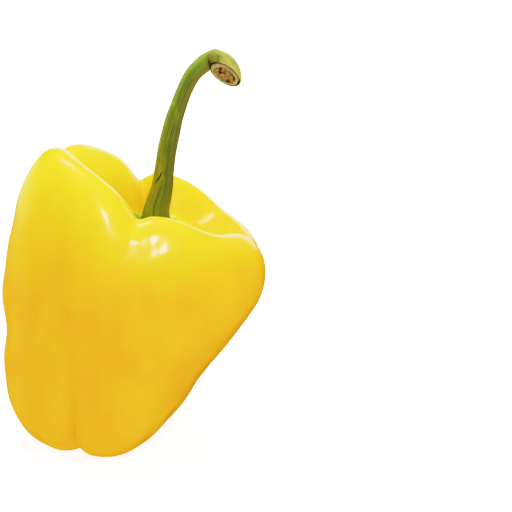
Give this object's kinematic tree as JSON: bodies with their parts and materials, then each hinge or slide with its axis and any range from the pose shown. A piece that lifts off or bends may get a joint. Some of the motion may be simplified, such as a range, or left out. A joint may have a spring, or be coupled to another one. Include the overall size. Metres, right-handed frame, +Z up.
{
  "type": "bell pepper",
  "caption": "Whole yellow bell pepper with a hooked green stem, standing upright on the tips of its lobes.",
  "frame": {"origin": "on the surface that the pepper stands on, under the middle of its outline", "axes": "+Z up, +X to the right in the picture, +Y away from the viewer"},
  "size_m": [0.0901, 0.0836, 0.1405],
  "materials": {
    "yellow_skin": "glossy waxed skin",
    "calyx_green": "matt",
    "stem_green": "satin",
    "dry_cork": "rough and dry"
  },
  "bodies": {
    "root": {"fruit": "yellow_skin", "calyx": "calyx_green", "stem": "stem_green", "stem_scar": "dry_cork"}
  },
  "joints": []
}
